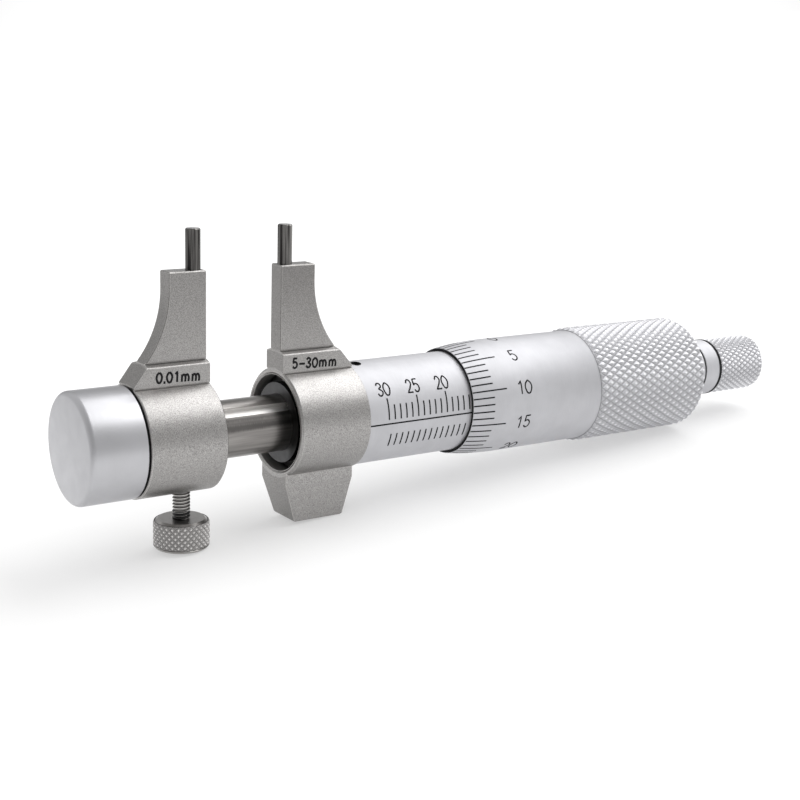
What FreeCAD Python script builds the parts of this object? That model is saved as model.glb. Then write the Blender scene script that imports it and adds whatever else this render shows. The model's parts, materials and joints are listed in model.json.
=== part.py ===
import FreeCAD, Part
import math
import os
from FreeCAD import Placement, Rotation, Vector

# Inside micrometer for holes and slots of 5 to 30 mm, reading to 0.01 mm. All sizes in millimetres.
#
# The instrument frame is used while the pieces are shaped. X runs along the spindle, from the end cap
# towards the ratchet, and x = 0 is the 30 mm mark on the scale sleeve. +Z points from the spindle to the
# jaws' measuring pins and -Y to the reader, who sees the scale. Last, every piece is set down as it
# stands: on the foot's edge and on the knurled end of the thimble, with the floor at z = 0.

# Measuring range and the size that the pieces stand at
reading_min = 5.0
reading_max = 30.0
reading = 15.63
travel_in = reading - reading_min
travel_out = reading_max - reading

# Clearances
running_clearance = 0.03
thread_clearance = 0.05
key_clearance = 0.04
end_clearance = 0.6
edge_break = 0.15

# Jaws: each is one casting, a hub with an arm, a stepped boss at the arm's root and a bore
fixed_face_x = -14.08
fixed_hub_length = 11.0
moving_hub_length = 10.75
hub_radius = 7.54
hub_edge_chamfer = 0.3
arm_top = 21.8
arm_width = 5.35
arm_thickness = 2.7
arm_flare_start = 19.5
arm_flare_radius = 14.5
boss_top = 10.15
boss_front_top = 9.85
boss_top_width = 8.7
boss_thickness = 4.6
boss_heel_height = 7.45
boss_rim = 0.1
relief_height = 0.18
relief_depth = 0.2
foot_depth = 13.85
foot_shoulder_depth = 8.3
foot_shoulder_thickness = 6.6
foot_bottom_thickness = 5.6
foot_inner_taper = 1.75
foot_outer_setback = 0.3
foot_outer_taper = 1.3
foot_edge_radius = 0.4

# Measuring pins, whose shanks are pressed into the arms' ends
pin_diameter = 2.0
pin_offset = 1.3
pin_projection = 5.35
pin_shank_diameter = 1.6
pin_shank_length = 4.0
pin_tip_chamfer = 0.15

# Guide barrel and the nut at its far end, with the key that stops the shaft from turning
barrel_radius = 5.55
barrel_recess = 0.5
counterbore_radius = 6.75
counterbore_depth = 2.4
nut_length = 9.9
nut_outer_radius = 5.0
nut_tip_radius = 4.6
nut_slot_count = 3
nut_slot_width = 0.6
nut_slot_margin = 1.2
key_angle = 43.0
key_width = 1.3
key_length = 8.0
key_start = 2.6
keyway_depth = 0.9
key_bottom_clearance = 0.2

# Guide shaft, hollow, carrying the moving jaw
shaft_radius = 3.94
shaft_reach = 39.3

# Scale sleeve and adjusting nut
sleeve_radius = 7.33
sleeve_overlap = 2.5
spanner_hole_diameter = 1.35
spanner_hole_offset = 1.48
spanner_hole_angle = 7.0
adjusting_nut_radius = 6.6
adjusting_nut_length = 4.4
adjusting_nut_offset = 3.4
adjusting_nut_slot = 1.2

# Spindle: a plain journal inside the shaft, then the measuring screw, a taper and a stud
journal_radius = 2.18
screw_radius = 3.45
washer_thickness = 0.5
spindle_nut_length = 3.0
spindle_nut_radius = 4.2
spindle_nut_slot = 1.0
spindle_tail = 0.5
taper_start_radius = 3.0
taper_end_radius = 2.7
taper_length = 7.6
stud_radius = 2.0

# Thimble
thimble_seat_shoulder = 1.58
thimble_bore_clearance = 0.16
thimble_edge_radius = 7.82
thimble_radius = 8.5
thimble_bevel_length = 8.5
grip_length = 22.15
grip_radius = 8.91
grip_step = 0.12
grip_corner = 0.12

# End cap
cap_gap = 0.35
cap_length = 7.55
cap_radius = 7.39
cap_edge_bevel = 0.5
cap_boss_radius = 6.2
cap_boss_length = 2.7
cap_wall = 1.6
cap_end_wall = 1.9

# Ratchet stop
lock_nut_length = 4.85
lock_nut_radius = 4.53
neck_gap = 0.15
neck_length = 3.25
neck_radius = 4.58
knob_gap = 0.25
knob_length = 10.45
knob_radius = 4.62
knob_edge = 0.7
ratchet_tooth_count = 12
tooth_inner_radius = 2.3
tooth_outer_radius = 3.9
tooth_width = 1.05
tooth_depth = 0.45
pawl_radius = 0.55
pawl_length = 2.3
pawl_bore_depth = 6.0
spring_wire = 0.2
spring_turns = 4
ratchet_screw_thread_radius = 1.0
ratchet_screw_thread_length = 4.8
ratchet_screw_shoulder_radius = 1.5
ratchet_screw_head_radius = 2.5
ratchet_screw_head_length = 1.6
ratchet_screw_slot_width = 0.5
ratchet_screw_slot_depth = 0.7
knob_recess_radius = 2.75
knob_recess_depth = 2.8
stud_past_lock_nut = 1.8

# Clamp screw and pad under the moving jaw's hub
clamp_inset = 3.1
clamp_screw_radius = 1.2
clamp_screw_exposed = 3.82
clamp_head_radius = 3.78
clamp_head_height = 3.95
clamp_head_bevel = 0.65
clamp_head_chamfer = 0.2
clamp_pad_radius = 0.93
clamp_pad_length = 2.0
clamp_tip_radius = 0.9
clamp_tip_length = 0.3

# Places that follow from the sizes above
closing_gap = reading_min - pin_diameter - 2 * pin_offset
moving_face_x = fixed_face_x - closing_gap - travel_in
fixed_hub_end_x = fixed_face_x + fixed_hub_length
moving_hub_end_x = moving_face_x - moving_hub_length
barrel_start_x = fixed_face_x + barrel_recess
barrel_bore_radius = shaft_radius + running_clearance
shaft_end_x = moving_face_x + shaft_reach
cap_seat_x = moving_hub_end_x + cap_boss_length + end_clearance
shaft_bore_radius = journal_radius + running_clearance
screw_start_x = shaft_end_x + washer_thickness
nut_start_x = screw_start_x + travel_in + end_clearance
barrel_end_x = nut_start_x + nut_length
nut_bore_radius = screw_radius + thread_clearance
sleeve_end_x = nut_start_x + sleeve_overlap
thimble_edge_x = reading_max - reading
thimble_bore_radius = sleeve_radius + thimble_bore_clearance
thimble_floor_x = barrel_end_x + travel_out + end_clearance
screw_end_x = thimble_floor_x + end_clearance
taper_end_x = screw_end_x + taper_length
thimble_end_x = taper_end_x + thimble_seat_shoulder
grip_start_x = thimble_end_x - grip_length
lock_nut_end_x = thimble_end_x + lock_nut_length
stud_end_x = lock_nut_end_x + stud_past_lock_nut
neck_start_x = lock_nut_end_x + neck_gap
neck_end_x = neck_start_x + neck_length
knob_start_x = neck_end_x + knob_gap
knob_end_x = knob_start_x + knob_length
knob_recess_x = knob_end_x - knob_recess_depth
tooth_pitch_radius = (tooth_inner_radius + tooth_outer_radius) / 2
keyway_floor = shaft_radius - keyway_depth
clamp_x = moving_face_x - clamp_inset
clamp_pad_top = journal_radius + running_clearance
clamp_pad_bottom = clamp_pad_top + clamp_pad_length
clamp_hole_radius = clamp_screw_radius + running_clearance
clamp_pad_hole_radius = clamp_pad_radius + running_clearance
clamp_head_top = hub_radius + clamp_screw_exposed
clamp_head_bottom = clamp_head_top + clamp_head_height


def turned(outline):
    """A piece turned about the spindle axis from corners given as (x, radius)."""
    corners = [Vector(x, 0, radius) for x, radius in outline]
    return Part.Face(Part.makePolygon(corners + corners[:1])).revolve(Vector(), Vector(1, 0, 0), 360)


def ring(start, end, inner, outer):
    """A plain ring, or a rod where the inner radius is nought."""
    return turned([(start, inner), (end, inner), (end, outer), (start, outer)])


def plate(outline, thickness):
    """A plate cut to an outline of (x, z) corners, with its middle on the instrument's middle plane."""
    corners = [Vector(x, -thickness / 2, z) for x, z in outline]
    return Part.Face(Part.makePolygon(corners + corners[:1])).extrude(Vector(0, thickness, 0))


def bar(section, start, end):
    """A bar of (y, z) section that runs along X."""
    corners = [Vector(start, y, z) for y, z in section]
    return Part.Face(Part.makePolygon(corners + corners[:1])).extrude(Vector(end - start, 0, 0))


def block(x_range, y_range, z_range):
    """A rectangular block between two limits on each axis."""
    size = [limits[1] - limits[0] for limits in (x_range, y_range, z_range)]
    return Part.makeBox(*size, Vector(x_range[0], y_range[0], z_range[0]))


def about_spindle(shape, angle):
    """A copy turned about the spindle axis; a positive angle goes from +Z towards the reader."""
    copy = shape.copy()
    copy.rotate(Vector(), Vector(1, 0, 0), angle)
    return copy


def edges_where(shape, test):
    """The shape's edges whose middle, length and both ends pass a test."""
    return [edge for edge in shape.Edges if test(edge)]


def middle(edge):
    return edge.valueAt((edge.FirstParameter + edge.LastParameter) / 2)


def is_straight(edge):
    return isinstance(edge.Curve, (Part.Line, Part.LineSegment))


def flare_reach(height):
    """How far the arm's outer edge has swept out at a height below the start of its flare."""
    drop = arm_flare_start - height
    return arm_flare_radius - math.sqrt(arm_flare_radius ** 2 - drop ** 2)


def make_arm():
    """The flat arm: straight inner edge, outer edge that flares in one arc down to the boss."""
    flare_middle = (arm_flare_start + boss_top) / 2
    foot_x = arm_width + flare_reach(boss_top)
    corners = [Vector(0, 0, 0), Vector(0, 0, arm_top), Vector(arm_width, 0, arm_top),
               Vector(arm_width, 0, arm_flare_start)]
    flare_end = Vector(foot_x, 0, boss_top)
    flare = Part.Arc(corners[-1], Vector(arm_width + flare_reach(flare_middle), 0, flare_middle), flare_end)
    below = Vector(foot_x, 0, 0)
    edges = [Part.makeLine(first, second) for first, second in zip(corners, corners[1:])]
    edges += [flare.toShape(), Part.makeLine(flare_end, below), Part.makeLine(below, corners[0])]
    outline = Part.Face(Part.Wire(edges))
    outline.translate(Vector(0, -arm_thickness / 2, 0))
    return outline.extrude(Vector(0, arm_thickness, 0))


def make_boss(hub_length):
    """The thicker boss at the arm's root, with sloped ledges and a heel that slants to the hub's end."""
    half = boss_thickness / 2
    arm_half = arm_thickness / 2
    side = plate([(0, 0), (0, boss_top), (boss_top_width, boss_top), (hub_length, boss_heel_height),
                  (hub_length, 0)], boss_thickness)
    rim_height = boss_front_top + boss_rim * (boss_top - boss_front_top) / (half - arm_half)
    section = [(-half, 0), (-half, boss_front_top - boss_rim), (boss_rim - half, rim_height),
               (-arm_half, boss_top), (arm_half, boss_top), (half - boss_rim, rim_height),
               (half, boss_front_top - boss_rim), (half, 0)]
    return side.common(bar(section, 0, hub_length))


def make_foot(hub_length):
    """The foot under the fixed jaw, narrowing downwards on all four sides."""
    outer = hub_length - foot_outer_setback
    top = foot_shoulder_thickness / 2
    bottom = foot_bottom_thickness / 2
    side = plate([(0, 0), (0, -foot_shoulder_depth), (foot_inner_taper, -foot_depth),
                  (outer - foot_outer_taper, -foot_depth), (outer, -foot_shoulder_depth), (outer, 0)],
                 foot_shoulder_thickness)
    section = [(-top, 0), (-top, -foot_shoulder_depth), (-bottom, -foot_depth), (bottom, -foot_depth),
               (top, -foot_shoulder_depth), (top, 0)]
    foot = side.common(bar(section, 0, hub_length))
    return foot.makeFillet(foot_edge_radius, edges_where(foot, on_foot_bottom))


def on_foot_bottom(edge):
    return all(abs(vertex.Z + foot_depth) < 0.001 for vertex in edge.Vertexes)


def relief_lines(hub_length):
    """The thin lines cut where the milled faces end: along the arm's root, and where the boss meets the hub."""
    along = (-1, hub_length + 1)
    hub_height = math.sqrt(hub_radius ** 2 - (boss_thickness / 2) ** 2) - relief_height / 3
    lines = []
    for thickness, foot in ((arm_thickness, boss_top), (boss_thickness, hub_height)):
        inside = thickness / 2 - relief_depth
        heights = (foot, foot + relief_height)
        lines += [block(along, (-thickness, -inside), heights), block(along, (inside, thickness), heights)]
    return lines


def on_arm_rim(edge):
    """The long edges of the arm, on both faces, and those across its end."""
    ends = [vertex.Point for vertex in edge.Vertexes]
    above_boss = all(point.z > boss_top - 0.001 for point in ends) and middle(edge).z > boss_top + 0.01
    return above_boss


def make_jaw(hub_length, has_foot):
    """One jaw casting with its inner face at x = 0 and its hub running to +X."""
    hub = turned([(0, 0), (hub_length, 0), (hub_length, hub_radius - edge_break),
                  (hub_length - edge_break, hub_radius), (hub_chamfer_start(has_foot), hub_radius),
                  (0, hub_radius - hub_chamfer_start(has_foot))])
    jaw = hub.fuse([make_boss(hub_length), make_arm()]).removeSplitter()
    jaw = jaw.makeChamfer(edge_break, edges_where(jaw, on_arm_rim)).cut(relief_lines(hub_length))
    if has_foot:
        jaw = jaw.fuse(make_foot(hub_length)).removeSplitter()
    seat = Part.makeCylinder(pin_shank_diameter / 2, pin_shank_length + 1,
                             Vector(pin_offset, 0, arm_top - pin_shank_length))
    return jaw.cut(seat)


def hub_chamfer_start(has_foot):
    """The bored rim of the fixed jaw is chamfered a little more than the other edges."""
    return hub_edge_chamfer if has_foot else edge_break


def fixed_jaw():
    jaw = make_jaw(fixed_hub_length, True)
    bore = ring(-1, fixed_hub_length + 1, 0, barrel_radius)
    mouth = turned([(-0.001, 0), (-0.001, counterbore_radius + hub_edge_chamfer),
                    (hub_edge_chamfer, counterbore_radius), (counterbore_depth, counterbore_radius),
                    (counterbore_depth, 0)])
    jaw = jaw.cut(bore.fuse(mouth))
    jaw.translate(Vector(fixed_face_x, 0, 0))
    return jaw


def moving_jaw():
    jaw = make_jaw(moving_hub_length, False).mirror(Vector(), Vector(1, 0, 0))
    jaw.translate(Vector(moving_face_x, 0, 0))
    bore = ring(moving_hub_end_x - 1, moving_face_x + 1, 0, shaft_radius)
    cap_seat = ring(moving_hub_end_x - 1, cap_seat_x, 0, cap_boss_radius)
    clamp_hole = Part.makeCylinder(clamp_hole_radius, hub_radius + 1, Vector(clamp_x, 0, 0), Vector(0, 0, -1))
    return jaw.cut(bore.fuse([cap_seat, clamp_hole]))


def measuring_pin(x):
    """A ground pin with a small chamfer at its tip and a thinner shank, pressed into the arm's end."""
    tip = arm_top + pin_projection
    pin = Part.makeCylinder(pin_diameter / 2, pin_projection, Vector(x, 0, arm_top))
    pin = pin.makeChamfer(pin_tip_chamfer, edges_where(pin, lambda edge: at_height(edge, tip)))
    shank = Part.makeCylinder(pin_shank_diameter / 2, pin_shank_length, Vector(x, 0, arm_top - pin_shank_length))
    return pin.fuse(shank)


def at_height(edge, height):
    """A closed round edge that lies at one height."""
    return not is_straight(edge) and all(abs(vertex.Z - height) < 0.001 for vertex in edge.Vertexes)


def guide_barrel():
    barrel = turned([(barrel_start_x, barrel_bore_radius), (nut_start_x, barrel_bore_radius),
                     (nut_start_x, nut_bore_radius), (barrel_end_x, nut_bore_radius),
                     (barrel_end_x, nut_tip_radius), (sleeve_end_x, nut_outer_radius),
                     (sleeve_end_x, barrel_radius), (barrel_start_x, barrel_radius)])
    half = nut_slot_width / 2
    slot = block((sleeve_end_x + nut_slot_margin, barrel_end_x + 1), (-half, half), (0, barrel_radius))
    slots = [about_spindle(slot, 360 / nut_slot_count * number) for number in range(nut_slot_count)]
    return barrel.cut([key_block(key_width / 2, 0, barrel_radius + 1)] + slots)


def key_block(half_width, floor, top):
    """The key's block between two heights, turned to the keyway's side of the shaft."""
    start = fixed_face_x + key_start
    return about_spindle(block((start, start + key_length), (-half_width, half_width), (floor, top)), key_angle)


def guide_key():
    """The key sits in the barrel's slot under the jaw's bore and reaches into the shaft's keyway."""
    whole = key_block(key_width / 2, keyway_floor + key_bottom_clearance, barrel_radius + 1)
    return whole.common(ring(barrel_start_x, nut_start_x, 0, barrel_radius))


def scale_sleeve():
    sleeve = turned([(fixed_hub_end_x, barrel_radius), (sleeve_end_x, barrel_radius),
                     (sleeve_end_x, sleeve_radius - edge_break), (sleeve_end_x - edge_break, sleeve_radius),
                     (fixed_hub_end_x, sleeve_radius)])
    hole = Part.makeCylinder(spanner_hole_diameter / 2, sleeve_radius + 1,
                             Vector(fixed_hub_end_x + spanner_hole_offset, 0, 0), Vector(0, 0, 1))
    return sleeve.cut(about_spindle(hole, spanner_hole_angle))


def nut_surface(x):
    """Radius of the barrel's tapered nut end at a place along the axis."""
    share = (x - sleeve_end_x) / (barrel_end_x - sleeve_end_x)
    return nut_outer_radius + share * (nut_tip_radius - nut_outer_radius)


def adjusting_nut():
    """A slotted ring on the taper closes the barrel's nut end on the measuring screw and takes up its wear."""
    start = nut_start_x + adjusting_nut_offset
    end = start + adjusting_nut_length
    nut = turned([(start, nut_surface(start)), (end, nut_surface(end)), (end, adjusting_nut_radius),
                  (start, adjusting_nut_radius)])
    half = adjusting_nut_slot / 2
    return nut.cut(block((end - adjusting_nut_slot, end + 1), (-adjusting_nut_radius, adjusting_nut_radius), (-half, half)))


def guide_shaft():
    shaft = ring(cap_seat_x, shaft_end_x, shaft_bore_radius, shaft_radius)
    half = key_width / 2 + key_clearance
    keyway = about_spindle(block((moving_face_x, shaft_end_x + 1), (-half, half), (keyway_floor, shaft_radius + 1)),
                           key_angle)
    pad_hole = Part.makeCylinder(clamp_pad_hole_radius, shaft_radius + 1, Vector(clamp_x, 0, 0), Vector(0, 0, -1))
    return shaft.cut([keyway, pad_hole])


def thrust_washer(start):
    """A bronze washer at each end of the shaft takes the spindle's push and pull."""
    return ring(start, start + washer_thickness, shaft_bore_radius, shaft_radius)


def spindle():
    nut_start = cap_seat_x - washer_thickness - spindle_nut_length
    journal_end = cap_seat_x - washer_thickness
    body = turned([(nut_start - spindle_tail, 0), (nut_start - spindle_tail, stud_radius - edge_break),
                   (nut_start - spindle_tail + edge_break, stud_radius), (journal_end, stud_radius),
                   (journal_end, journal_radius), (screw_start_x, journal_radius),
                   (screw_start_x, screw_radius), (screw_end_x, screw_radius),
                   (screw_end_x, taper_start_radius), (taper_end_x, taper_end_radius),
                   (taper_end_x, stud_radius), (stud_end_x, stud_radius), (stud_end_x, 0)])
    tapped = ring(stud_end_x - ratchet_screw_thread_length, stud_end_x + 1, 0, ratchet_screw_thread_radius)
    return body.cut(tapped)


def spindle_nut():
    """The nut on the spindle's tail, with two spanner slots, draws the jaw back."""
    end = cap_seat_x - washer_thickness
    start = end - spindle_nut_length
    half = spindle_nut_slot / 2
    slot = block((start - 1, start + spindle_nut_slot), (-spindle_nut_radius, spindle_nut_radius), (-half, half))
    return ring(start, end, stud_radius, spindle_nut_radius).cut(slot)


def end_cap():
    """A hollow cap, screwed into the moving jaw's hub, covers the spindle's tail."""
    face = moving_hub_end_x - cap_gap
    start = face - cap_length
    inner = cap_radius - cap_wall
    boss_inner = cap_boss_radius - cap_wall / 2
    boss_end = moving_hub_end_x + cap_boss_length
    cap = turned([(start, 0), (start, cap_radius), (face, cap_radius), (face, cap_boss_radius),
                  (boss_end, cap_boss_radius), (boss_end, boss_inner), (face - cap_wall, boss_inner),
                  (face - cap_wall, inner - cap_wall / 2), (start + cap_end_wall, inner - cap_wall / 2),
                  (start + cap_end_wall, 0)])
    rim = edges_where(cap, lambda edge: not is_straight(edge) and edge.BoundBox.XMax < start + 0.001)
    return cap.makeChamfer(cap_edge_bevel, rim)


def thimble():
    """A drum with a curved, graduated bevel at the reading edge and a thick grip at the other end."""
    bevel_end = thimble_edge_x + thimble_bevel_length
    rise = thimble_radius - thimble_edge_radius
    bevel_radius = (thimble_bevel_length ** 2 + rise ** 2) / (2 * rise)
    halfway = thimble_bevel_length / 2
    bevel_middle = thimble_radius - bevel_radius + math.sqrt(bevel_radius ** 2 - halfway ** 2)
    edge = Vector(thimble_edge_x, 0, thimble_edge_radius)
    crown = Vector(bevel_end, 0, thimble_radius)
    bevel = Part.Arc(edge, Vector(thimble_edge_x + halfway, 0, bevel_middle), crown)
    rest = [(bevel_end, thimble_radius), (grip_start_x, thimble_radius),
            (grip_start_x + grip_step, grip_radius), (thimble_end_x - grip_corner, grip_radius),
            (thimble_end_x, grip_radius - grip_corner), (thimble_end_x, stud_radius + running_clearance),
            (taper_end_x, stud_radius + running_clearance), (taper_end_x, taper_end_radius),
            (screw_end_x, taper_start_radius), (screw_end_x, screw_radius + running_clearance),
            (thimble_floor_x, screw_radius + running_clearance), (thimble_floor_x, thimble_bore_radius),
            (thimble_edge_x, thimble_bore_radius), (thimble_edge_x, thimble_edge_radius)]
    corners = [Vector(x, 0, radius) for x, radius in rest]
    lines = [Part.makeLine(first, second) for first, second in zip(corners, corners[1:])]
    return Part.Face(Part.Wire([bevel.toShape()] + lines)).revolve(Vector(), Vector(1, 0, 0), 360)


def thimble_lock_nut():
    """The nut on the spindle's stud that draws the thimble onto its taper."""
    return turned([(thimble_end_x, stud_radius), (lock_nut_end_x, stud_radius),
                   (lock_nut_end_x, lock_nut_radius - edge_break),
                   (lock_nut_end_x - edge_break, lock_nut_radius), (thimble_end_x, lock_nut_radius)])


def tooth_gap(clearance, start, end):
    """A saw-tooth wedge at the middle of the gap between two ratchet teeth, as a bar along Z."""
    half = tooth_width / 2 - clearance
    floor_x = neck_end_x - tooth_depth + clearance
    corners = [Vector(neck_end_x + 1, -half, start), Vector(neck_end_x, -half, start),
               Vector(floor_x, -half, start), Vector(neck_end_x, half, start), Vector(neck_end_x + 1, half, start)]
    return Part.Face(Part.makePolygon(corners + corners[:1])).extrude(Vector(0, 0, end - start))


def ratchet_neck():
    """The fixed half of the ratchet stop, with a crown of saw teeth on its outer face."""
    neck = turned([(neck_start_x, stud_radius), (neck_end_x, stud_radius), (neck_end_x, neck_radius),
                   (neck_start_x + edge_break, neck_radius), (neck_start_x, neck_radius - edge_break)])
    gap = tooth_gap(0, tooth_inner_radius, tooth_outer_radius)
    return neck.cut([about_spindle(gap, 360 / ratchet_tooth_count * number) for number in range(ratchet_tooth_count)])


def pawl_bore(radius, start, end):
    return Part.makeCylinder(radius, end - start, Vector(start, 0, tooth_pitch_radius), Vector(1, 0, 0))


def ratchet_pawl():
    """A round pawl in the knob whose saw-tooth tip rests in a gap of the neck's crown."""
    tip = neck_end_x - tooth_depth
    guided_end = knob_start_x + pawl_length
    body = pawl_bore(pawl_radius, knob_start_x - knob_gap, guided_end)
    nose = pawl_bore(pawl_radius, tip, knob_start_x)
    wedge = tooth_gap(running_clearance, tooth_inner_radius, tooth_outer_radius)
    return body.fuse(nose.common(wedge)).removeSplitter()


def ratchet_spring():
    """The coil spring of square wire behind the pawl."""
    half = spring_wire / 2
    axial = pawl_bore_depth - pawl_length - spring_wire
    coil_radius = pawl_radius - half
    helix = Part.makeHelix(axial / spring_turns, axial, coil_radius)
    corners = [Vector(coil_radius + out * half, 0, up * half) for out, up in ((-1, -1), (1, -1), (1, 1), (-1, 1))]
    section = Part.makePolygon(corners + corners[:1])
    coil = Part.Wire(helix).makePipeShell([section], True, True)
    coil.rotate(Vector(), Vector(0, 1, 0), 90)
    coil.translate(Vector(knob_start_x + pawl_length + half, 0, tooth_pitch_radius))
    return coil


def ratchet_screw():
    """A shoulder screw holds the knob on the stud and lets it turn."""
    head_x = knob_recess_x + running_clearance
    thread_start = stud_end_x - ratchet_screw_thread_length
    screw = turned([(thread_start, 0), (thread_start, ratchet_screw_thread_radius),
                    (stud_end_x, ratchet_screw_thread_radius), (stud_end_x, ratchet_screw_shoulder_radius),
                    (head_x, ratchet_screw_shoulder_radius), (head_x, ratchet_screw_head_radius),
                    (head_x + ratchet_screw_head_length - edge_break, ratchet_screw_head_radius),
                    (head_x + ratchet_screw_head_length, ratchet_screw_head_radius - edge_break),
                    (head_x + ratchet_screw_head_length, 0)])
    half = ratchet_screw_slot_width / 2
    top = head_x + ratchet_screw_head_length
    slot = block((top - ratchet_screw_slot_depth, top + 1), (-knob_radius, knob_radius), (-half, half))
    return screw.cut(slot)


def ratchet_knob():
    """The turning knob, bored for the shoulder screw, its head, the pawl and the spring."""
    bore = ratchet_screw_shoulder_radius + running_clearance
    knob = turned([(knob_start_x, bore), (knob_recess_x, bore), (knob_recess_x, knob_recess_radius),
                   (knob_end_x, knob_recess_radius), (knob_end_x, knob_radius - knob_edge),
                   (knob_end_x - knob_edge, knob_radius), (knob_start_x + edge_break, knob_radius),
                   (knob_start_x, knob_radius - edge_break)])
    return knob.cut(pawl_bore(pawl_radius + running_clearance, knob_start_x - 1, knob_start_x + pawl_bore_depth))


def clamp_turned(outline):
    """A piece turned about the clamp screw's axis from corners given as (radius, depth below the spindle)."""
    corners = [Vector(clamp_x + radius, 0, -depth) for radius, depth in outline]
    face = Part.Face(Part.makePolygon(corners + corners[:1]))
    return face.revolve(Vector(clamp_x, 0, 0), Vector(0, 0, 1), 360)


def clamp_pad():
    """The soft pad between the clamp screw and the spindle's journal."""
    return clamp_turned([(0, clamp_pad_top), (clamp_pad_radius, clamp_pad_top),
                         (clamp_pad_radius, clamp_pad_bottom), (0, clamp_pad_bottom)])


def clamp_screw():
    """A thumb screw with a bevelled head for a knurl."""
    tip_end = clamp_pad_bottom + clamp_tip_length
    inner = clamp_head_radius - clamp_head_bevel
    return clamp_turned([(0, clamp_pad_bottom), (clamp_tip_radius, clamp_pad_bottom),
                         (clamp_screw_radius, tip_end), (clamp_screw_radius, clamp_head_top),
                         (inner, clamp_head_top), (clamp_head_radius, clamp_head_top + clamp_head_bevel / 2),
                         (clamp_head_radius, clamp_head_bottom - clamp_head_chamfer),
                         (clamp_head_radius - clamp_head_chamfer, clamp_head_bottom), (0, clamp_head_bottom)])


def standing_place(shapes):
    """Where the instrument stands: the floor touches the foot's outer edge and the grip's end."""
    foot_corner_x = fixed_hub_end_x - foot_outer_setback - foot_outer_taper - foot_edge_radius
    foot_corner_z = -foot_depth + foot_edge_radius
    grip_x = thimble_end_x - grip_corner
    span = math.hypot(grip_x - foot_corner_x, -grip_radius - foot_corner_z)
    slope = math.atan2(-grip_radius - foot_corner_z, grip_x - foot_corner_x)
    nose_down = math.degrees(slope + math.asin(foot_edge_radius / span))
    turn = Rotation(Vector(0, 1, 0), nose_down)
    floor = turn.multVec(Vector(grip_x, 0, -grip_radius)).z
    whole = Part.makeCompound(shapes)
    whole.Placement = Placement(Vector(), turn)
    box = whole.optimalBoundingBox(False)
    return Placement(Vector(-(box.XMin + box.XMax) / 2, 0, -floor), turn)


pieces = {
    "fixed_jaw": fixed_jaw(),
    "fixed_measuring_pin": measuring_pin(fixed_face_x + pin_offset),
    "guide_barrel": guide_barrel(),
    "guide_key": guide_key(),
    "scale_sleeve": scale_sleeve(),
    "adjusting_nut": adjusting_nut(),
    "moving_jaw": moving_jaw(),
    "moving_measuring_pin": measuring_pin(moving_face_x - pin_offset),
    "guide_shaft": guide_shaft(),
    "tail_thrust_washer": thrust_washer(cap_seat_x - washer_thickness),
    "screw_thrust_washer": thrust_washer(shaft_end_x),
    "end_cap": end_cap(),
    "spindle": spindle(),
    "spindle_nut": spindle_nut(),
    "thimble": thimble(),
    "thimble_lock_nut": thimble_lock_nut(),
    "ratchet_neck": ratchet_neck(),
    "ratchet_screw": ratchet_screw(),
    "ratchet_knob": ratchet_knob(),
    "ratchet_pawl": ratchet_pawl(),
    "ratchet_spring": ratchet_spring(),
    "clamp_pad": clamp_pad(),
    "clamp_screw": clamp_screw(),
}

os.makedirs("parts", exist_ok=True)
place = standing_place(list(pieces.values()))
for name, shape in pieces.items():
    shape.Placement = place.multiply(shape.Placement)
    shape.exportStep("parts/" + name + ".step")
    solids = len(shape.Solids)
    print(name, "solids", solids, "valid", shape.isValid(), "volume", round(shape.Volume, 2))
axis = place.Rotation.multVec(Vector(1, 0, 0))
print("nose down", math.degrees(math.asin(-axis.z)), "origin at", place.Base, "axis", axis)
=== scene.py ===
import json
import math
import bpy
from mathutils import Matrix, Vector


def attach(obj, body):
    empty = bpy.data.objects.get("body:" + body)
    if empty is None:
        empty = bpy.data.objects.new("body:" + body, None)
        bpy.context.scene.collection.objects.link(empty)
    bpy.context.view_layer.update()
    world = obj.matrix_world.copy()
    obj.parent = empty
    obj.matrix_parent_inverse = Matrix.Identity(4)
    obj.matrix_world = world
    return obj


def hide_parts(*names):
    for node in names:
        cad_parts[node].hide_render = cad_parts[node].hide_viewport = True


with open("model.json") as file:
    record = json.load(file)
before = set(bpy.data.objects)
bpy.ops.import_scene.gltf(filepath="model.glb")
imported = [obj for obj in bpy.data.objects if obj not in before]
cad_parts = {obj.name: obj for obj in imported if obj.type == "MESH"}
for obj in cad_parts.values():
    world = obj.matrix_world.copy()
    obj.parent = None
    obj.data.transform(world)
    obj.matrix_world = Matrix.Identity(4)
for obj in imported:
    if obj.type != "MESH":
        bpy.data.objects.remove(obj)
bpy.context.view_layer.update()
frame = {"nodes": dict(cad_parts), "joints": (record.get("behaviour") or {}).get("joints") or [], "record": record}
print("frame loaded")

# The instrument's own axes: x along the spindle from the 30 mm mark, z to the measuring pins, in millimetres
turning = next(joint for joint in frame["joints"] if joint["name"] == "thimble_turn")
alongSpindle = -Vector(turning["axis"]).normalized()
acrossSpindle = Vector((0, 1, 0))
markPoint = Vector(turning["pos_m"])
millimetre = 0.001
leaning = Matrix((alongSpindle, acrossSpindle, alongSpindle.cross(acrossSpindle))).transposed()
instrument = Matrix.Translation(markPoint) @ leaning.to_4x4() @ Matrix.Scale(millimetre, 4)


# Materials

edgeRounding = 0.1 * millimetre


def toLinear(hexColour):
    parts = [int(hexColour[start:start + 2], 16) / 255 for start in (1, 3, 5)]
    return [part / 12.92 if part <= 0.04045 else ((part + 0.055) / 1.055) ** 2.4 for part in parts] + [1.0]


def inputOf(node, name):
    if isinstance(name, int):
        return node.inputs[name]
    return next((socket for socket in node.inputs if socket.name == name and socket.enabled), None)


def feed(tree, node, links):
    # A node that is linked from stands for its first output in use
    for name, source in links.items():
        if isinstance(source, bpy.types.Node):
            source = next(socket for socket in source.outputs if socket.enabled)
        tree.links.new(source, inputOf(node, name))


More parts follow.
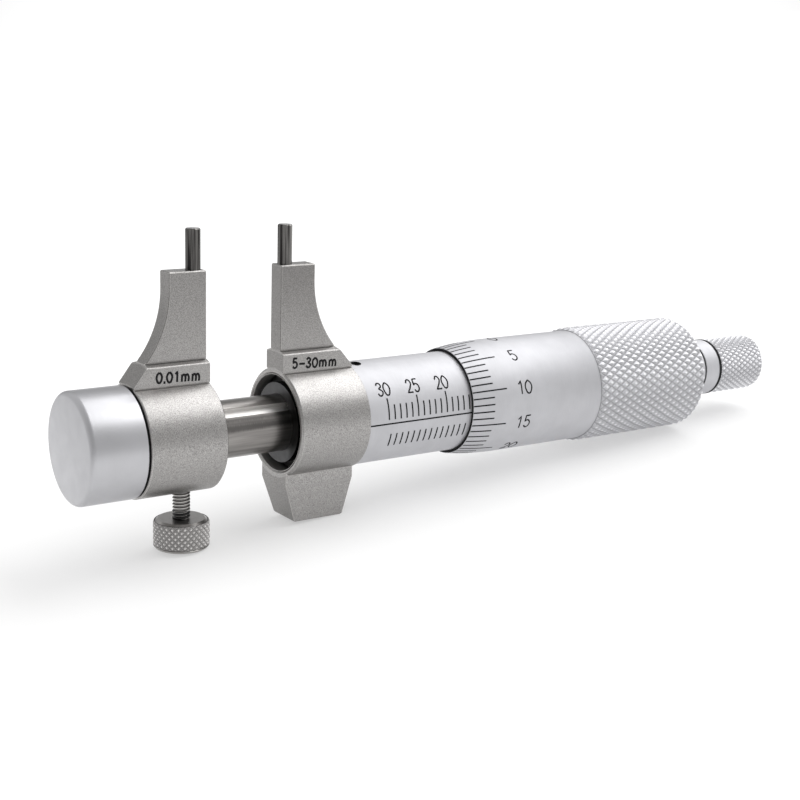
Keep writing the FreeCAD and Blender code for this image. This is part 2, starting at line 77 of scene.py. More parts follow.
def addNode(tree, kind, settings=None, links=None, stops=()):
    # A setting is for the input of that name or number, or else for the node itself. Colours are hex values, and a
    # ramp's stop may also be a bare number, which is a grey.
    made = tree.nodes.new(kind)
    for name, value in (settings or {}).items():
        socket = inputOf(made, name)
        if socket is None:
            setattr(made, name, value)
        else:
            socket.default_value = toLinear(value) if isinstance(value, str) else value
    feed(tree, made, links or {})
    for number, (place, tone) in enumerate(stops):
        stop = made.color_ramp.elements[number] if number < 2 else made.color_ramp.elements.new(place)
        stop.position = place
        stop.color = toLinear(tone) if isinstance(tone, str) else (tone, tone, tone, 1)
    return made


def startMaterial(name, colour, metallic, roughness):
    material = bpy.data.materials.new(name)
    material.use_nodes = True
    tree = material.node_tree
    shader = tree.nodes["Principled BSDF"]
    shader.inputs["Base Color"].default_value = toLinear(colour)
    shader.inputs["Metallic"].default_value = metallic
    shader.inputs["Roughness"].default_value = roughness
    return material, tree, shader


def instrumentPlace(tree, stretch=(1, 1, 1)):
    # Object coordinates turned back into the instrument's own millimetres, then stretched for the pattern. A noise
    # of Scale 2 in them changes every half millimetre.
    seen = addNode(tree, "ShaderNodeTexCoord")
    lean = addNode(tree, "ShaderNodeMapping",
                   {"vector_type": "TEXTURE", "Location": markPoint, "Rotation": leaning.to_euler(),
                    "Scale": (millimetre, millimetre, millimetre)}, {"Vector": seen.outputs["Object"]})
    return addNode(tree, "ShaderNodeMapping", {"Scale": stretch}, {"Vector": lean})


def fromAxis(tree, first, second):
    # A point's distance from an axis, out of its two coordinates across that axis
    across = addNode(tree, "ShaderNodeCombineXYZ", {}, {"X": first, "Y": second})
    return addNode(tree, "ShaderNodeVectorMath", {"operation": "LENGTH"}, {"Vector": across})


def wornEdges(tree, shader, colour, highlightColour):
    # Corners are a little rounded, and painted bright where the rounded normal leaves the flat one, as a painted
    # highlight along the edges
    rounded = addNode(tree, "ShaderNodeBevel", {"samples": 6, "Radius": edgeRounding})
    flat = addNode(tree, "ShaderNodeNewGeometry")
    same = addNode(tree, "ShaderNodeVectorMath", {"operation": "DOT_PRODUCT"},
                   {0: rounded, 1: flat.outputs["Normal"]})
    edgeHighlight = addNode(tree, "ShaderNodeMapRange", {"From Min": 0.995, "From Max": 0.93}, {"Value": same})
    mixed = addNode(tree, "ShaderNodeMix", {"data_type": "RGBA", "B": highlightColour}, {"Factor": edgeHighlight, "A": colour})
    feed(tree, shader, {"Base Color": mixed})
    return rounded


castings = {
    "bottom": -13.85, "top": 21.8, "hub": 7.54,
    # Each arm is painted darker between these heights, as painted shade, by a share that changes between the arms, at
    # this x
    "shadeStart": 8.0, "shadeEnd": 20.5, "between": -14.3, "shadeMoving": 0.5, "shadeFixed": 0.95,
    # Height and half thickness at foot, hub, boss, ledge, arm and top, with 0 where there is no narrow side. The
    # ramp's values are shares of the thickest.
    "halfThickness": [(-13.85, 2.8), (-8.3, 3.3), (-6.7, 3.3), (-6.6, 0.0), (7.1, 0.0), (7.2, 2.3), (9.8, 2.3),
                      (9.9, 0.0), (10.15, 0.0), (10.25, 1.35), (21.7, 1.35), (21.78, 0.0)], "thickest": 4.0,
    # A side's painted shade comes in over these distances, inside the half thickness and outside the hub
    "sideEdge": (0.03, 0.09), "hubEdge": (0.02, 0.07),
}


def makeBlastedSteel():
    # Bead-blasted, plated steel castings: warm grey with a fine glitter and no direction. The pits are drawn
    # about 0.1 mm apart, twice the real size, so that they show.
    material, tree, shader = startMaterial("beadBlastedSteel", "#9F9E9C", 1.0, 0.34)
    place = instrumentPlace(tree)
    parts = addNode(tree, "ShaderNodeSeparateXYZ", {}, {"Vector": place})
    pits = addNode(tree, "ShaderNodeTexNoise", {"Scale": 9.5, "Detail": 1.0, "Roughness": 0.5}, {"Vector": place})
    speck = addNode(tree, "ShaderNodeMapRange", {"From Min": 0.3, "From Max": 0.7}, {"Value": pits})
    blasted, shadedTone, sideShadeTone = (
        addNode(tree, "ShaderNodeMix", {"data_type": "RGBA", "A": dark, "B": light}, {"Factor": speck})
        for dark, light in (("#858382", "#BAB8B6"), ("#6F6D6C", "#9C9A98"), ("#777574", "#A19F9D")))
    # Painted shade: each arm is painted darker towards its top
    rise = addNode(tree, "ShaderNodeMapRange", {"From Min": castings["shadeStart"], "From Max": castings["shadeEnd"]},
                   {"Value": parts.outputs["Z"]})
    share = addNode(tree, "ShaderNodeMapRange",
                    {"From Min": castings["between"], "From Max": castings["between"] + 0.1,
                     "To Min": castings["shadeMoving"], "To Max": castings["shadeFixed"]}, {"Value": parts.outputs["X"]})
    paintedArmShade = addNode(tree, "ShaderNodeMath", {"operation": "MULTIPLY"}, {0: rise, 1: share})
    front = addNode(tree, "ShaderNodeMix", {"data_type": "RGBA"}, {"Factor": paintedArmShade, "A": blasted, "B": shadedTone})

    # Narrow sides are painted darker, as painted shade on faces turned away from the light. A point on one lies inside
    # the half thickness that the casting has at its height, and outside the hub.
    bottom, whole, thickest = castings["bottom"], castings["top"] - castings["bottom"], castings["thickest"]
    height = addNode(tree, "ShaderNodeMapRange", {"From Min": bottom, "From Max": castings["top"]},
                     {"Value": parts.outputs["Z"]})
    half = addNode(tree, "ShaderNodeValToRGB", {}, {"Fac": height},
                   [((z - bottom) / whole, y / thickest) for z, y in castings["halfThickness"]])
    limit = addNode(tree, "ShaderNodeMath", {"operation": "MULTIPLY", 1: thickest}, {0: half})
    out = addNode(tree, "ShaderNodeMath", {"operation": "ABSOLUTE"}, {0: parts.outputs["Y"]})
    inside = addNode(tree, "ShaderNodeMath", {"operation": "SUBTRACT"}, {0: limit, 1: out})
    (first, full), (hubFirst, hubFull) = castings["sideEdge"], castings["hubEdge"]
    narrow = addNode(tree, "ShaderNodeMapRange", {"From Min": first, "From Max": full}, {"Value": inside})
    outside = addNode(tree, "ShaderNodeMapRange",
                      {"From Min": castings["hub"] + hubFirst, "From Max": castings["hub"] + hubFull},
                      {"Value": fromAxis(tree, parts.outputs["Y"], parts.outputs["Z"])})
    side = addNode(tree, "ShaderNodeMath", {"operation": "MULTIPLY"}, {0: narrow, 1: outside})
    colour = addNode(tree, "ShaderNodeMix", {"data_type": "RGBA"}, {"Factor": side, "A": front, "B": sideShadeTone})
    # Painted highlight along the casting's edges
    rounded = wornEdges(tree, shader, colour, "#D3D1CE")

    cloud = addNode(tree, "ShaderNodeTexNoise", {"Scale": 0.4, "Detail": 2.0}, {"Vector": place})
    rough = addNode(tree, "ShaderNodeMapRange", {"From Min": 0.3, "From Max": 0.7, "To Min": 0.31, "To Max": 0.38},
                    {"Value": cloud})
    bump = addNode(tree, "ShaderNodeBump", {"Strength": 0.5, "Distance": 0.00005}, {"Height": pits, "Normal": rounded})
    feed(tree, shader, {"Roughness": rough, "Normal": bump})
    return material


def makeSatinChrome(name, dark, light, roughness, grain):
    # Matt chrome on turned steel: bright and cool, with lathe rings 0.06 mm apart and a faint grain of 0.15 mm
    material, tree, shader = startMaterial(name, light, 1.0, roughness)
    place = instrumentPlace(tree)
    rings = addNode(tree, "ShaderNodeTexNoise", {"Scale": 1.0, "Detail": 2.0},
                    {"Vector": instrumentPlace(tree, (16, 0.5, 0.5))})
    film = addNode(tree, "ShaderNodeTexNoise", {"Scale": 0.35, "Detail": 3.0}, {"Vector": place})
    fine = addNode(tree, "ShaderNodeTexNoise", {"Scale": 7.0, "Detail": 2.0}, {"Vector": place})
    colour = addNode(tree, "ShaderNodeMix", {"data_type": "RGBA", "A": dark, "B": light}, {"Factor": film})
    # Painted highlight along the chrome's edges
    rounded = wornEdges(tree, shader, colour, "#E2E2E5")
    rough = addNode(tree, "ShaderNodeMapRange", {"From Min": 0.3, "From Max": 0.7, "To Min": roughness - 0.04,
                                                 "To Max": roughness + 0.04}, {"Value": rings})
    height = addNode(tree, "ShaderNodeMix", {"Factor": grain}, {"A": rings, "B": fine})
    bump = addNode(tree, "ShaderNodeBump", {"Strength": 0.12, "Distance": 0.00004},
                   {"Height": height, "Normal": rounded})
    feed(tree, shader, {"Roughness": rough, "Normal": bump})
    return material


def makeKnurled(name, root, flank, tip, groove, crest, upright=None):
    # Rolled knurl or thread: grey matt flanks, roots painted darker as painted shade in the grooves, and crests painted
    # brighter and glossier, partly as rubbed metal and partly as a painted highlight. It goes round the spindle, or
    # round an upright axis at the given x.
    material, tree, shader = startMaterial(name, flank, 1.0, 0.5)
    place = instrumentPlace(tree)
    parts = addNode(tree, "ShaderNodeSeparateXYZ", {}, {"Vector": place})
    other = parts.outputs["Z"]
    if upright is not None:
        other = addNode(tree, "ShaderNodeMath", {"operation": "SUBTRACT", 1: upright}, {0: parts.outputs["X"]})
    height = addNode(tree, "ShaderNodeMapRange", {"From Min": groove, "From Max": crest},
                     {"Value": fromAxis(tree, parts.outputs["Y"], other)})
    # Painted shade in the roots and a painted highlight on the crests, by the distance from the axis
    colour = addNode(tree, "ShaderNodeValToRGB", {}, {"Fac": height},
                     [(0.0, root), (0.14, flank), (0.66, flank), (0.92, tip)])
    rough = addNode(tree, "ShaderNodeMapRange", {"From Min": 0.6, "From Max": 0.92, "To Min": 0.6, "To Max": 0.28},
                    {"Value": height})
    film = addNode(tree, "ShaderNodeTexNoise", {"Scale": 3.0, "Detail": 3.0}, {"Vector": place})
    bump = addNode(tree, "ShaderNodeBump", {"Strength": 0.2, "Distance": 0.00004}, {"Height": film})
    feed(tree, shader, {"Base Color": colour, "Roughness": rough, "Normal": bump})
    return material


shaft = {
    "radius": 3.94, "keywayEdge": (0.03, 0.09), "roughness": 0.28, "keywayRoughness": 0.45, "wavering": 0.12,
    # Angle, half width and share of each darker band, painted round the shaft as painted shade in its reflections
    "streaks": [(79.0, 9.0, 0.7), (60.5, 9.0, 0.7)],
}


def makeGroundSteel():
    # Ground hardened steel: darker and shinier than the castings, with faint grinding rings 0.15 mm apart and
    # lengthwise wear, a keyway painted far brighter as painted light in the slot, and darker bands painted at set
    # angles round the shaft as painted shade in its reflections
    material, tree, shader = startMaterial("groundSteel", "#8E8B89", 1.0, shaft["roughness"])
    parts = addNode(tree, "ShaderNodeSeparateXYZ", {}, {"Vector": instrumentPlace(tree)})
    rings = addNode(tree, "ShaderNodeTexNoise", {"Scale": 1.0, "Detail": 3.0},
                    {"Vector": instrumentPlace(tree, (7, 0.5, 0.5))})
    wear = addNode(tree, "ShaderNodeTexNoise", {"Scale": 1.0, "Detail": 2.0},
                   {"Vector": instrumentPlace(tree, (0.1, 1.8, 1.8))})
    spread = addNode(tree, "ShaderNodeMapRange", {"From Min": 0.35, "From Max": 0.65}, {"Value": wear})
    colour, paintedKeywayLight, paintedBandShade = (
        addNode(tree, "ShaderNodeMix", {"data_type": "RGBA", "A": dark, "B": light}, {"Factor": spread})
        for dark, light in (("#7B7876", "#969390"), ("#E4E2E0", "#F0EEEC"), ("#4E4C4B", "#5E5C5A")))
    mirrored = addNode(tree, "ShaderNodeMath", {"operation": "MULTIPLY", 1: -1.0}, {0: parts.outputs["Y"]})
    around = addNode(tree, "ShaderNodeMath", {"operation": "ARCTAN2"}, {0: mirrored, 1: parts.outputs["Z"]})
    wavering = addNode(tree, "ShaderNodeMath", {"operation": "MULTIPLY_ADD", 1: shaft["wavering"]},
                       {0: rings, 2: around})
    # Painted shade: darker bands at set angles round the shaft, in place of dark reflections
    for angle, half, share in shaft["streaks"]:
        away = addNode(tree, "ShaderNodeMath", {"operation": "SUBTRACT", 1: math.radians(angle)}, {0: wavering})
        off = addNode(tree, "ShaderNodeMath", {"operation": "ABSOLUTE"}, {0: away})
        reflectionBand = addNode(tree, "ShaderNodeMapRange",
                         {"interpolation_type": "SMOOTHSTEP", "To Max": share, "From Min": math.radians(half),
                          "From Max": math.radians(half / 4)}, {"Value": off})
        colour = addNode(tree, "ShaderNodeMix", {"data_type": "RGBA"}, {"Factor": reflectionBand, "A": colour, "B": paintedBandShade})
    # Painted light: the keyway is painted much brighter than the shaft
    first, full = shaft["keywayEdge"]
    inKeyway = addNode(tree, "ShaderNodeMapRange",
                     {"From Min": shaft["radius"] - first, "From Max": shaft["radius"] - full},
                     {"Value": fromAxis(tree, parts.outputs["Y"], parts.outputs["Z"])})
    colour = addNode(tree, "ShaderNodeMix", {"data_type": "RGBA"}, {"Factor": inKeyway, "A": colour, "B": paintedKeywayLight})
    rough = addNode(tree, "ShaderNodeMapRange", {"To Min": shaft["roughness"], "To Max": shaft["keywayRoughness"]},
                    {"Value": inKeyway})
    bump = addNode(tree, "ShaderNodeBump", {"Strength": 0.07, "Distance": 0.00003}, {"Height": rings})
    feed(tree, shader, {"Base Color": colour, "Roughness": rough, "Normal": bump})
    return material


def makePinSteel():
    # Lapped hard pins: nearly black and glossy, with lines along their length, drawn 0.3 mm apart so that they show
    material, tree, shader = startMaterial("lappedHardMetal", "#545352", 1.0, 0.2)
    lines = addNode(tree, "ShaderNodeTexNoise", {"Scale": 1.0, "Detail": 2.0},
                    {"Vector": instrumentPlace(tree, (3, 3, 0.1))})
    streaks = addNode(tree, "ShaderNodeMapRange", {"From Min": 0.38, "From Max": 0.62}, {"Value": lines})
    colour = addNode(tree, "ShaderNodeMix", {"data_type": "RGBA", "A": "#333231", "B": "#7E7C7A"},
                     {"Factor": streaks})
    bump = addNode(tree, "ShaderNodeBump", {"Strength": 0.15, "Distance": 0.00003}, {"Height": lines})
    feed(tree, shader, {"Base Color": colour, "Normal": bump})
    return material


sideShadow = {"starts": -2.4, "blackest": -4.2}    # how far to the side in y


def makeDarkSteel():
    # Oiled steel inside the fixed jaw's mouth: almost black, a little gloss, and painted blackest on one side in y, as
    # a painted shadow
    material, tree, shader = startMaterial("darkSteelAndShadow", "#555556", 1.0, 0.4)
    place = instrumentPlace(tree)
    parts = addNode(tree, "ShaderNodeSeparateXYZ", {}, {"Vector": place})
    film = addNode(tree, "ShaderNodeTexNoise", {"Scale": 1.2, "Detail": 3.0}, {"Vector": place})
    ownDark, black = (addNode(tree, "ShaderNodeMix", {"data_type": "RGBA", "A": dark, "B": light}, {"Factor": film})
                  for dark, light in (("#3D3D3E", "#585859"), ("#0E0E0E", "#202020")))
    # Painted shadow: blackest towards one side in y
    paintedShadow = addNode(tree, "ShaderNodeMapRange", {"interpolation_type": "SMOOTHSTEP", "From Min": sideShadow["starts"],
                                                "From Max": sideShadow["blackest"]}, {"Value": parts.outputs["Y"]})
    colour = addNode(tree, "ShaderNodeMix", {"data_type": "RGBA"}, {"Factor": paintedShadow, "A": ownDark, "B": black})
    bump = addNode(tree, "ShaderNodeBump", {"Strength": 0.1, "Distance": 0.00005}, {"Height": film})
    feed(tree, shader, {"Base Color": colour, "Normal": bump})
    return material


def makeScrewSteel():
    # Plain turned steel of the clamp screw: mid grey with an oily film
    material, tree, shader = startMaterial("rolledSteel", "#A5A3A1", 1.0, 0.3)
    film = addNode(tree, "ShaderNodeTexNoise", {"Scale": 2.2, "Detail": 3.0}, {"Vector": instrumentPlace(tree)})
    colour = addNode(tree, "ShaderNodeMix", {"data_type": "RGBA", "A": "#959391", "B": "#B4B2B0"}, {"Factor": film})
    bump = addNode(tree, "ShaderNodeBump", {"Strength": 0.15, "Distance": 0.00004}, {"Height": film})
    feed(tree, shader, {"Base Color": colour, "Normal": bump})
    return material


def makeScalePaint():
    # Black filling in the engraved marks: matt, slightly uneven. The same black is also used as painted shade in the
    # gaps, the spanner hole and the thimble's reading edge.
    material, tree, shader = startMaterial("blackPaintAndShade", "#1A1A1B", 0.0, 0.75)
    shader.inputs["Specular IOR Level"].default_value = 0.2
    film = addNode(tree, "ShaderNodeTexNoise", {"Scale": 6.0, "Detail": 2.0}, {"Vector": instrumentPlace(tree)})
    colour = addNode(tree, "ShaderNodeMix", {"data_type": "RGBA", "A": "#121213", "B": "#232325"}, {"Factor": film})
    feed(tree, shader, {"Base Color": colour})
    return material


def makeBronze():
    # Turned bronze washers and pad: yellow brown, with lathe rings about 0.12 mm apart
    material, tree, shader = startMaterial("turnedBronze", "#A8814F", 1.0, 0.3)
    rings = addNode(tree, "ShaderNodeTexNoise", {"Scale": 1.0, "Detail": 2.0},
                    {"Vector": instrumentPlace(tree, (8, 1, 1))})
    bump = addNode(tree, "ShaderNodeBump", {"Strength": 0.2, "Distance": 0.00004}, {"Height": rings})
    feed(tree, shader, {"Normal": bump})
    return material


satinChrome = makeSatinChrome("mattChrome", "#C4C4C7", "#D2D2D5", 0.64, 0.25)
grainedChrome = makeSatinChrome("grainedChrome", "#B7B7BA", "#C3C3C6", 0.37, 0.8)
darkSteelAndShadow, rolledSteel, blackPaintAndShade, pinSteel = makeDarkSteel(), makeScrewSteel(), makeScalePaint(), makePinSteel()
slotMaterials = {
    "jaw_steel": makeBlastedSteel(), "satin_chrome": satinChrome, "ground_steel": makeGroundSteel(),
    "dark_steel": darkSteelAndShadow, "knurled_steel": rolledSteel, "bronze": makeBronze(),
}
nodeMaterials = {"fixed_measuring_pin": pinSteel, "moving_measuring_pin": pinSteel}
for subpart in frame["record"]["subparts"]:
    cadNode = frame["nodes"][subpart["node"]]
    cadNode.data.materials.clear()
    cadNode.data.materials.append(nodeMaterials.get(subpart["node"], slotMaterials[subpart["material_slot"]]))
print("materials made")


# Making pieces by hand

onAxis = 0.0001      # the radius of an outline's point on the axis
sameSpot = 0.0005    # corners this near each other are one
near = 0.01          # faces and edges this near their place are selected


def deselectAll():
    if bpy.context.object and bpy.context.object.mode == "EDIT":
        bpy.ops.object.mode_set(mode="OBJECT")
    bpy.ops.object.select_all(action="DESELECT")


def selectOnly(piece):
    deselectAll()
    piece.select_set(True)
    bpy.context.view_layer.objects.active = piece


def editing(piece, selectAll=False):
    selectOnly(piece)
    bpy.ops.object.mode_set(mode="EDIT")
    bpy.ops.mesh.select_all(action="SELECT" if selectAll else "DESELECT")


def applyModifiers(piece):
    selectOnly(piece)
    for modifier in list(piece.modifiers):
        bpy.ops.object.modifier_apply(modifier=modifier.name)


def bakePlace(piece):
    piece.data.transform(piece.matrix_world)
    piece.matrix_world = Matrix.Identity(4)
    return piece


def joined(pieces):
    deselectAll()
    for piece in pieces:
        piece.select_set(True)
    bpy.context.view_layer.objects.active = pieces[0]
    if len(pieces) > 1:
        bpy.ops.object.join()
    return pieces[0]


def turnedShape(outline, sides=128):
    # A ring of points is drawn, and drawn out and resized corner by corner along the outline of (x, radius)
    deselectAll()
    startX, startRadius = outline[0]
    bpy.ops.mesh.primitive_circle_add(vertices=sides, radius=startRadius, location=(startX, 0, 0),
                                      rotation=(0, math.pi / 2, 0))
    piece = bakePlace(bpy.context.object)
    editing(piece, selectAll=True)
    for (x, radius), (nextX, nextRadius) in zip(outline, outline[1:]):
        bpy.ops.mesh.extrude_region_move(TRANSFORM_OT_translate={"value": (nextX - x, 0, 0)})
        share = nextRadius / radius
        bpy.ops.transform.resize(value=(1, share, share), center_override=(nextX, 0, 0))
    bpy.ops.mesh.select_all(action="SELECT")
    bpy.ops.mesh.remove_doubles(threshold=sameSpot)
    bpy.ops.mesh.select_all(action="DESELECT")
    bpy.ops.mesh.select_mode(type="EDGE")
    bpy.ops.mesh.select_non_manifold()
    bpy.ops.mesh.fill_holes(sides=0)
    bpy.ops.mesh.select_all(action="SELECT")
    bpy.ops.mesh.normals_make_consistent(inside=False)
    bpy.ops.object.mode_set(mode="OBJECT")
    return piece


def knurledTeeth(sizes, startX, endX, radius, material):
    # One cut-off pyramid is modelled, then set along the grip, staggered and set round it
    halfArc = math.pi * radius / sizes["around"]
    halfPitch = sizes["pitch"] / 2
    tall = sizes["depth"] + 0.03    # the foot is sunk in the drum
    deselectAll()
    bpy.ops.mesh.primitive_cone_add(vertices=4, radius1=1, radius2=sizes["flat"], depth=tall,
                                    location=(startX, 0, radius - tall / 2))
    tooth = bakePlace(bpy.context.object)
    editing(tooth, selectAll=True)
    bpy.ops.transform.resize(value=(halfPitch, halfArc, 1), center_override=(startX, 0, radius))
    bpy.ops.object.mode_set(mode="OBJECT")
    rows = []
    for offset in (0, 1):
        row = tooth.copy()
        row.data = tooth.data.copy()
        bpy.context.collection.objects.link(row)
        line = row.modifiers.new("along", "ARRAY")
        line.use_relative_offset = False
        line.use_constant_offset = True
        line.constant_offset_displace = (sizes["pitch"], 0, 0)
        line.count = int((endX - startX) / sizes["pitch"]) + 2
        applyModifiers(row)
        row.matrix_world = (Matrix.Rotation(offset * math.pi / sizes["around"], 4, "X")
                            @ Matrix.Translation((offset * halfPitch, 0, 0)))
        rows.append(bakePlace(row))
    bpy.data.objects.remove(tooth)
    teeth = joined(rows)
    for limit, outside, slope in ((startX, -1, 1.0), (endX, 1, 0.3)):    # the first end is cut off aslant
        editing(teeth, selectAll=True)
        bpy.ops.mesh.bisect(plane_co=(limit, 0, radius - sizes["depth"]), plane_no=(outside, 0, slope),
                            use_fill=True, clear_outer=True)
        bpy.ops.object.mode_set(mode="OBJECT")
    turnMark = bpy.data.objects.new("turnMark", None)
    bpy.context.collection.objects.link(turnMark)
    turnMark.rotation_euler = (2 * math.pi / sizes["around"], 0, 0)
    bpy.context.view_layer.update()
    ring = teeth.modifiers.new("around", "ARRAY")
    ring.use_relative_offset = False
    ring.use_object_offset = True
    ring.offset_object = turnMark
    ring.count = sizes["around"]
    applyModifiers(teeth)
    bpy.data.objects.remove(turnMark)
    teeth.data.materials.append(material)
    return teeth


def finishPiece(piece, name, body, material, replaced=(), smooth=35):
    selectOnly(piece)
    if smooth:
        bpy.ops.object.shade_smooth_by_angle(angle=math.radians(smooth))
    piece.data.transform(instrument)
    piece.matrix_world = Matrix.Identity(4)
    piece.name = name
    piece.data.name = name
    if not piece.data.materials:
        piece.data.materials.append(material)
    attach(piece, body)
    if replaced:
        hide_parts(*replaced)
    return piece


# Thimble with its curved bevel and knurled grip

thimble = {
    "edgeX": 14.37, "edgeRadius": 7.82, "bore": 7.49, "bevelEnd": 22.87, "bevelSteps": 8, "radius": 8.5,
    "gripX": 38.42, "endX": 60.57, "gripRadius": 8.91, "corner": 0.12, "floorX": 50.79, "stem": 3.48,
    # The drum steps down from and to this far off the grip's start, and the teeth end this far before its end
    "stepFrom": -0.1, "stepTo": 0.02, "teethShort": 0.05,
    # The reading edge's front has a ring this wide painted black as painted shade, and its faces' middles are within
    # the second width
    "shadeRing": 0.28, "shadeWithin": 0.2, "smooth": 52,
}
gripKnurl = {"around": 46, "pitch": 2.0, "depth": 0.32, "flat": 0.12}


def bevelRadius(x):
    # The bevel is one arc that runs out into the drum
    run, rise = thimble["bevelEnd"] - thimble["edgeX"], thimble["radius"] - thimble["edgeRadius"]
    arc = (run ** 2 + rise ** 2) / (2 * rise)
    back = max(thimble["bevelEnd"] - x, 0)
    return thimble["radius"] - arc + math.sqrt(arc ** 2 - back ** 2)


def makeThimble():
    startX, endX, bore, stem = thimble["edgeX"], thimble["endX"], thimble["bore"], thimble["stem"]
    groove = thimble["gripRadius"] - gripKnurl["depth"]
    step = (thimble["bevelEnd"] - startX) / thimble["bevelSteps"]
    bevel = [(startX + number * step, bevelRadius(startX + number * step))
             for number in range(thimble["bevelSteps"] + 1)]
    drum = turnedShape([
        (thimble["floorX"], stem), (thimble["floorX"], bore), (startX, bore), (startX, bore + thimble["shadeRing"]),
        *bevel, (thimble["gripX"] + thimble["stepFrom"], thimble["radius"]),
        (thimble["gripX"] + thimble["stepTo"], groove), (endX - thimble["corner"], groove),
        (endX, groove - thimble["corner"]), (endX, stem), (thimble["floorX"], stem)])
    drum.data.materials.append(satinChrome)
    drum.data.materials.append(blackPaintAndShade)
    for face in drum.data.polygons:    # the reading edge's front is painted black as painted shade, but for its outermost rim
        x, y, z = face.center
        if x < startX + near and math.hypot(y, z) < bore + thimble["shadeWithin"]:
            face.material_index = 1
    gripKnurling = makeKnurled("gripKnurling", "#767679", "#C6C6C9", "#ECECEF", groove, thimble["gripRadius"])
    teeth = knurledTeeth(gripKnurl, thimble["gripX"], endX - thimble["teethShort"], thimble["gripRadius"],
                         gripKnurling)
    return finishPiece(joined([drum, teeth]), "knurledThimble", "thimble_group", satinChrome,
                       ["thimble"], thimble["smooth"])


makeThimble()
print("thimble made")


# Ratchet knob

knob = {
    "startX": 69.1, "length": 10.45, "radius": 4.62, "recess": 2.75, "recessDepth": 2.8, "bore": 1.53,
    # The end gets narrower by the edge's size, over three short slopes
    "edge": 0.7, "shoulder": 0.56, "slopeX": 0.25, "slope": 0.1, "teethShort": 0.49, "sides": 96, "smooth": 38,
}
knobKnurl = {"around": 32, "pitch": 1.45, "depth": 0.24, "flat": 0.14}


def makeKnob():
    startX, bore, recess = knob["startX"], knob["bore"], knob["recess"]
    endX = startX + knob["length"]
    groove, edge = knob["radius"] - knobKnurl["depth"], knob["radius"] - knob["edge"]
    recessX = endX - knob["recessDepth"]
    drum = turnedShape([
        (startX, bore), (startX, groove), (endX - knob["shoulder"], groove),
        (endX - knob["slopeX"], edge + knob["slope"]), (endX, edge - knob["slope"]), (endX, recess),
        (recessX, recess), (recessX, bore), (startX, bore)], knob["sides"])
    drum.data.materials.append(satinChrome)
    knobKnurling = makeKnurled("knobKnurling", "#666669", "#D0D0D3", "#F4F4F7", groove, knob["radius"])
    teeth = knurledTeeth(knobKnurl, startX, endX - knob["teethShort"], knob["radius"], knobKnurling)
    return finishPiece(joined([drum, teeth]), "knurledKnob", "ratchet_group", satinChrome,
                       ["ratchet_knob"], knob["smooth"])


makeKnob()
print("knob made")


# Clamp screw: knurled head and a real thread, modelled along x and then stood upright

thumbScrew = {
    "x": -28.21, "tip": 4.21, "tipRadius": 0.9, "tipBevel": 0.15, "headTop": 11.36, "headBottom": 15.31,
    "radius": 3.78, "bevel": 0.65, "chamfer": 0.3, "chamferTop": 0.33, "crown": 0.05, "land": 0.42,
    "teethStart": 0.25, "sides": 96,
    "thread": 1.2, "threadDepth": 0.22, "pitch": 0.45, "threadStart": 0.3, "threadEnd": 0.1, "paintedShadow": 1.15,
    # One tooth of the thread, as shares of the pitch along it and of the depth out of it
    "tooth": [(0.38, 1), (0.14, 0), (0.38, -1), (0.1, 0)], "turnSteps": 32,
}
thumbKnurl = {"around": 28, "pitch": 0.84, "depth": 0.2, "flat": 0.15}


def makeThread(startX, endX):
    # One tooth's outline is drawn out from a single point and wound along the screw
    pitch, depth = thumbScrew["pitch"], thumbScrew["threadDepth"]
    deselectAll()
    bpy.ops.mesh.primitive_plane_add(size=0.1, location=(startX, 0, thumbScrew["thread"] - depth))
    thread = bakePlace(bpy.context.object)
    editing(thread, selectAll=True)
    bpy.ops.mesh.select_mode(type="VERT")
    bpy.ops.mesh.merge(type="CENTER")
    for along, out in thumbScrew["tooth"]:
        bpy.ops.mesh.extrude_region_move(TRANSFORM_OT_translate={"value": (along * pitch, 0, out * depth)})
    bpy.ops.object.mode_set(mode="OBJECT")
    winding = thread.modifiers.new("winding", "SCREW")
    winding.axis = "X"
    winding.screw_offset = pitch
    winding.iterations = int((endX - startX) / pitch)
    winding.steps = winding.render_steps = thumbScrew["turnSteps"]
    winding.use_merge_vertices = True
    winding.merge_threshold = 0.001
    applyModifiers(thread)
    return thread


